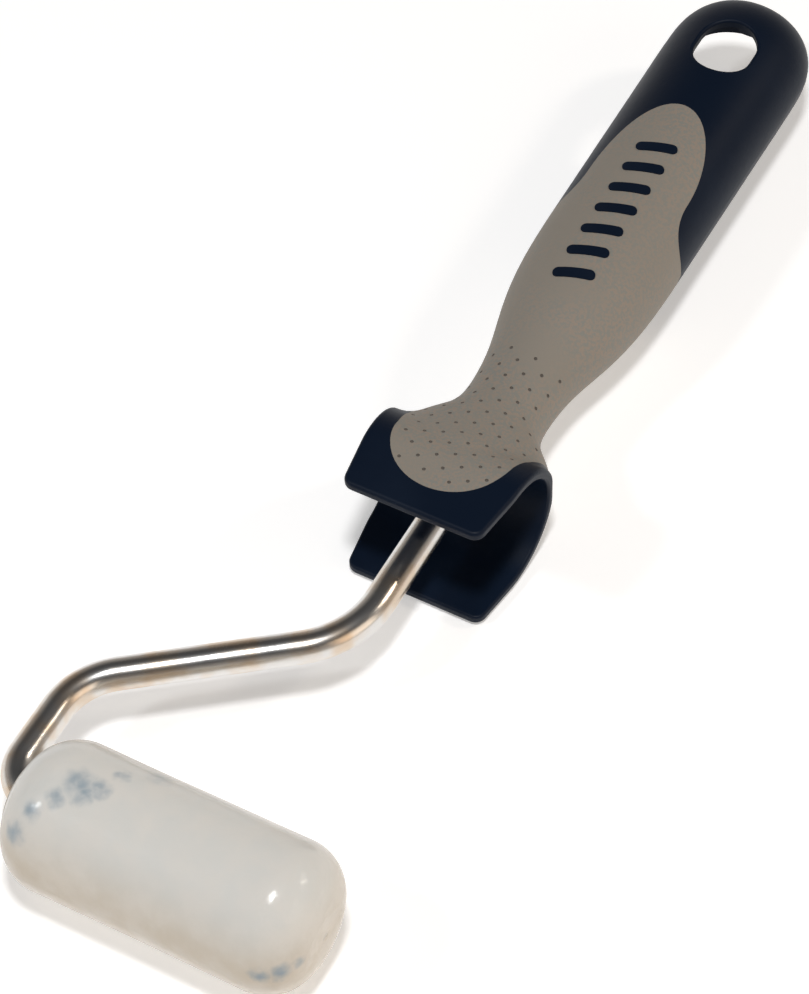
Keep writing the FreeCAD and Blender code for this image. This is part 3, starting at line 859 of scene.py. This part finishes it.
# ---------------------------------------------------------------- handle
@dataclass
class Handle:
    """The hard handle and the soft grip over it, with its pits."""

    datum: Datum
    pit_radius: float = 0.37
    pit_pitch: float = 5.3
    pit_row: float = 2.0
    pit_turn: float = -6.0
    pit_start: float = 83.0
    pit_end: float = 121.0
    pit_rows: int = 22
    pit_columns: int = 9
    pit_lift: float = 0.10
    pit_facing: float = 0.45
    pit_depth_seen: float = 0.004
    merge_gap: float = 0.002

    def pit_centres(self, grip: bpy.types.Object) -> np.ndarray:
        """Places the pits in staggered rows on the front of the grip.

        Args:
            grip: The merged grip, whose front the pits sit on.

        Returns:
            Centres on the surface in the frame's metres. A row's pits are one pitch apart, every
            other row is moved half a pitch, and the whole grid is turned about the front's normal.
        """
        rows = np.arange(self.pit_rows)
        row, column = np.meshgrid(rows, np.arange(self.pit_columns), indexing="ij")
        across = (column - self.pit_columns // 2 + 0.5 * (row % 2)) * self.pit_pitch
        along = row * self.pit_row - self.pit_rows * self.pit_row / 2
        turn = math.radians(self.pit_turn)
        middle = (self.pit_start + self.pit_end) / 2
        x = across * math.cos(turn) - along * math.sin(turn)
        y = across * math.sin(turn) + along * math.cos(turn) + middle
        centres = []
        for place_x, place_y in zip(x.reshape(-1), y.reshape(-1)):
            if not self.pit_start < place_y < self.pit_end:
                continue
            above = self.datum.point(place_x, place_y, 30.0)
            found, place, normal, _ = grip.ray_cast(above, Vector((0.0, 0.0, -1.0)))
            if found and normal.z > self.pit_facing and self.clear_of_edge(grip, above):
                centres.append(place + normal * self.pit_lift * MM)
        return np.array([list(centre) for centre in centres])

    def clear_of_edge(self, grip: bpy.types.Object, above: Vector) -> bool:
        """Whether the grip's front is also there a little way off on four sides.

        Args:
            grip: The merged grip.
            above: A point above the place that is tested.

        Returns:
            True where a pit would not cut the grip's edge.
        """
        reach = 2.2 * self.pit_radius * MM
        for step in ((reach, 0.0), (-reach, 0.0), (0.0, reach), (0.0, -reach)):
            found, _, normal, _ = grip.ray_cast(above + Vector((*step, 0.0)), Vector((0.0, 0.0, -1.0)))
            if not found or normal.z < 0.3:
                return False
        return True

    def pit_tool(self, centres: np.ndarray) -> bpy.types.Object:
        """One mesh of small balls, a ring-and-pole grid for each centre.

        Args:
            centres: The balls' centres in metres.

        Returns:
            The tool, as a separate object.
        """
        rings, sides = 5, 12
        polar = np.linspace(0.0, math.pi, rings + 2)[1:-1]
        turn = np.linspace(0.0, 2 * math.pi, sides, endpoint=False)
        ring_z = np.repeat(np.cos(polar), sides)
        ring_x = (np.sin(polar)[:, None] * np.cos(turn)[None, :]).reshape(-1)
        ring_y = (np.sin(polar)[:, None] * np.sin(turn)[None, :]).reshape(-1)
        ball = np.stack([ring_x, ring_y, ring_z], axis=1)
        ball = np.concatenate([ball, [[0.0, 0.0, 1.0], [0.0, 0.0, -1.0]]]) * self.pit_radius * MM
        quads = grid_faces(rings, sides, False, True)[:, ::-1]
        columns = np.arange(sides)
        following = (columns + 1) % sides
        last = (rings - 1) * sides
        top = np.stack([columns, following, np.full(sides, rings * sides)], axis=1)
        low = np.stack([last + following, last + columns, np.full(sides, rings * sides + 1)], axis=1)
        count = len(ball)
        shift = (np.arange(len(centres)) * count)[:, None, None]
        points = (centres[:, None, :] + ball[None, :, :]).reshape(-1, 3)
        all_quads = (quads[None, :, :] + shift).reshape(-1, 4)
        fans = [(fan[None, :, :] + shift).reshape(-1, 3) for fan in (top, low)]
        return mesh_object("pit_tool", points, all_quads, fans)

    def merged_skin(self, source: bpy.types.Object) -> bpy.types.Object:
        """Copies the frame's soft skin with its doubled vertices merged.

        Args:
            source: The frame's own node.

        Returns:
            The linked copy.
        """
        skin = bpy.data.objects.new("grip_skin", source.data.copy())
        bpy.context.scene.collection.objects.link(skin)
        shape = bmesh.new()
        shape.from_mesh(skin.data)
        bmesh.ops.remove_doubles(shape, verts=shape.verts, dist=self.merge_gap * MM)
        bmesh.ops.recalc_face_normals(shape, faces=shape.faces)
        shape.to_mesh(skin.data)
        shape.free()
        bpy.context.view_layer.update()
        return skin

    def build(self) -> bpy.types.Object:
        """Makes the grip: the frame's own skin, merged, with the pits cut out of its front.

        Returns:
            The grip.
        """
        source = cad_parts["grip_overmould"]
        skin = self.merged_skin(source)
        centres = self.pit_centres(skin)
        tool = self.pit_tool(centres)
        cut = skin.modifiers.new("pits", "BOOLEAN")
        cut.operation = "DIFFERENCE"
        cut.solver = "EXACT"
        cut.object = tool
        bpy.context.view_layer.update()
        graph = bpy.context.evaluated_depsgraph_get()
        result = bpy.data.meshes.new_from_object(skin.evaluated_get(graph))
        bpy.data.objects.remove(skin)
        bpy.data.objects.remove(tool)
        result.materials.clear()
        result.polygons.foreach_set("use_smooth", np.ones(len(result.polygons), bool))
        normals, hollow = self.shading(result, source.data, centres)
        result.normals_split_custom_set(normals)
        result.attributes.new(HOLLOW, "FLOAT", "FACE").data.foreach_set("value", hollow)
        grip = bpy.data.objects.new("grip", result)
        bpy.context.scene.collection.objects.link(grip)
        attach(grip, Body.FRAME.value)
        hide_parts("grip_overmould")
        return grip

    def shading(
        self, mesh: bpy.types.Mesh, source: bpy.types.Mesh, centres: np.ndarray
    ) -> tuple[list[Vector], list[float]]:
        """Normals for every face corner of the cut grip, and which faces lie in a pit.

        Args:
            mesh: The grip with its pits.
            source: The frame's own skin, which has smooth normals.
            centres: The pits' centres in metres.

        Returns:
            The skin's own normals, blended across the face below each corner, and in a pit the
            direction from the corner to the ball's centre; then 1 for a face in a pit, else 0.
        """
        places = [vertex.co for vertex in source.vertices]
        sheets = [list(face.vertices) for face in source.polygons]
        skin = BVHTree.FromPolygons(places, sheets)
        balls = KDTree(len(centres))
        for number, centre in enumerate(centres):
            balls.insert(centre, number)
        balls.balance()
        normals = []
        hollow = []
        for face in mesh.polygons:
            _, _, below, gap = skin.find_nearest(face.center)
            sheet = source.polygons[below]
            corners = [source.vertices[vertex].co for vertex in sheet.vertices]
            smooth = [source.corner_normals[loop].vector for loop in sheet.loop_indices]
            in_pit = gap > self.pit_depth_seen * MM
            hollow.append(float(in_pit))
            for vertex in face.vertices:
                place = mesh.vertices[vertex].co
                if in_pit:
                    centre, _, _ = balls.find(place)
                    normals.append((centre - place).normalized())
                    continue
                weights = poly_3d_calc(corners, place)
                total = Vector((0.0, 0.0, 0.0))
                for weight, normal in zip(weights, smooth):
                    total += normal * weight
                normals.append(total.normalized())
        return normals, hollow

    def dress(self, grip: bpy.types.Object) -> None:
        """Gives the hard handle and the grip their finishes.

        Args:
            grip: The grip's object.
        """
        navy = HardPlastic(
            name="navy_plastic",
            colour=(0.0020, 0.0068, 0.0185, 1.0),
            worn=(0.0032, 0.0088, 0.0220, 1.0),
            roughness=0.45,
            shine=0.14,
        )
        dress("handle_body", navy.build())
        grip.data.materials.append(SoftGrip().build())


# ---------------------------------------------------------------- studio
@dataclass(frozen=True)
class SoftBox:
    """One square light that looks at the object."""

    name: str
    azimuth: float
    elevation: float
    distance: float
    size: float
    power: float
    colour: tuple[float, float, float] = (1.0, 1.0, 1.0)


@dataclass
class Studio:
    """Floor, lights and camera."""

    datum: Datum
    azimuth: float = 30.04
    elevation: float = 52.59
    roll: float = -2.115
    distance: float = 646.0
    aim: tuple[float, float, float] = (-7.105, 85.95, 0.0)
    lens: float = 130.38
    floor_half: float = 3.0
    floor_drop: float = 0.2
    floor_glow: float = 0.32
    boxes: list[SoftBox] = field(default_factory=lambda: [
        SoftBox("key", 30.0, 76.0, 1.0, 0.12, 5.0),
        SoftBox("right", 130.0, 38.0, 1.1, 0.14, 1.5, (1.0, 0.90, 0.78)),
        SoftBox("left", -49.0, 46.0, 1.1, 0.11, 2.0, (0.96, 0.98, 1.0)),
        SoftBox("warm", 85.0, 24.0, 1.3, 0.8, 2.2, (1.0, 0.82, 0.64)),
    ])

    @staticmethod
    def outward(azimuth: float, elevation: float) -> Vector:
        """The direction from the object to a viewer.

        Args:
            azimuth: Degrees; 0 looks along +Y and 90 along -X.
            elevation: Degrees above the horizon.

        Returns:
            A unit vector.
        """
        turn, rise = math.radians(azimuth), math.radians(elevation)
        level = math.cos(rise)
        return Vector((math.sin(turn) * level, -math.cos(turn) * level, math.sin(rise)))

    def floor(self) -> None:
        """Lays a wide pale floor under the object."""
        signs = np.array([[-1.0, -1.0], [1.0, -1.0], [1.0, 1.0], [-1.0, 1.0]])
        corners = np.column_stack([signs * self.floor_half, np.full(4, -self.floor_drop * MM)])
        ground = mesh_object("floor", corners, np.array([[0, 1, 2, 3]]), [])
        nodes = Nodes("pale_floor")
        pale = (0.93, 0.93, 0.93, 1.0)
        shader = nodes.add("ShaderNodeBsdfPrincipled", Base_Color=pale, Roughness=0.8)
        shader.inputs["Emission Color"].default_value = (1.0, 1.0, 1.0, 1.0)
        shader.inputs["Emission Strength"].default_value = self.floor_glow
        ground.data.materials.append(nodes.finish(shader))

    def lights(self) -> None:
        """Hangs the soft boxes and sets the pale surroundings."""
        target = self.datum.point(*self.aim)
        for box in self.boxes:
            lamp = bpy.data.lights.new(box.name, "AREA")
            lamp.size = box.size
            lamp.energy = box.power
            lamp.color = box.colour
            holder = bpy.data.objects.new(box.name, lamp)
            back = self.outward(box.azimuth, box.elevation)
            holder.location = target + back * box.distance
            holder.rotation_mode = "QUATERNION"
            holder.rotation_quaternion = (-back).to_track_quat("-Z", "Y")
            bpy.context.scene.collection.objects.link(holder)
        bpy.context.scene.world = self.surroundings()
        bpy.context.scene.view_settings.view_transform = "Standard"

    @staticmethod
    def surroundings() -> bpy.types.World:
        """A room that is dim overhead and pale towards the horizon.

        Returns:
            The world, whose brightness depends on the height a ray leaves at.
        """
        world = bpy.data.worlds.new("surroundings")
        world.use_nodes = True
        tree = world.node_tree
        direction = tree.nodes.new("ShaderNodeTexCoord")
        axes = tree.nodes.new("ShaderNodeSeparateXYZ")
        fade = tree.nodes.new("ShaderNodeValToRGB")
        tree.links.new(direction.outputs["Generated"], axes.inputs[0])
        tree.links.new(axes.outputs[2], fade.inputs[0])
        tree.links.new(fade.outputs[0], tree.nodes["Background"].inputs["Color"])
        low, high = fade.color_ramp.elements
        low.position, low.color = 0.10, (0.50, 0.45, 0.40, 1.0)
        high.position, high.color = 0.68, (0.055, 0.054, 0.055, 1.0)
        return world

    def camera(self) -> None:
        """Places the camera by its angles about the aim."""
        back = self.outward(self.azimuth, self.elevation)
        lens = bpy.data.cameras.new("camera")
        lens.lens = self.lens
        lens.clip_start, lens.clip_end = 0.01, 20.0
        holder = bpy.data.objects.new("camera", lens)
        holder.location = self.datum.point(*self.aim) + back * self.distance * MM
        level = (-back).to_track_quat("-Z", "Y").to_matrix()
        tilt = Matrix.Rotation(math.radians(self.roll), 3, "Z")
        holder.rotation_mode = "QUATERNION"
        holder.rotation_quaternion = (level @ tilt).to_quaternion()
        bpy.context.scene.collection.objects.link(holder)
        bpy.context.scene.camera = holder

    def build(self) -> None:
        """Makes the whole studio."""
        self.floor()
        self.lights()
        self.camera()


def main() -> None:
    """Builds and dresses every sub-assembly, then the studio."""
    logging.basicConfig(level=logging.INFO, format="%(name)s: %(message)s")
    datum = Datum.from_frame()
    roller = Roller(datum)
    roller.dress(roller.build())
    log.info("roller done")
    wire = WireFrame(datum)
    wire.dress(wire.build())
    log.info("wire done")
    handle = Handle(datum)
    handle.dress(handle.build())
    log.info("handle done")
    Studio(datum).build()


if __name__ == "__main__":
    main()
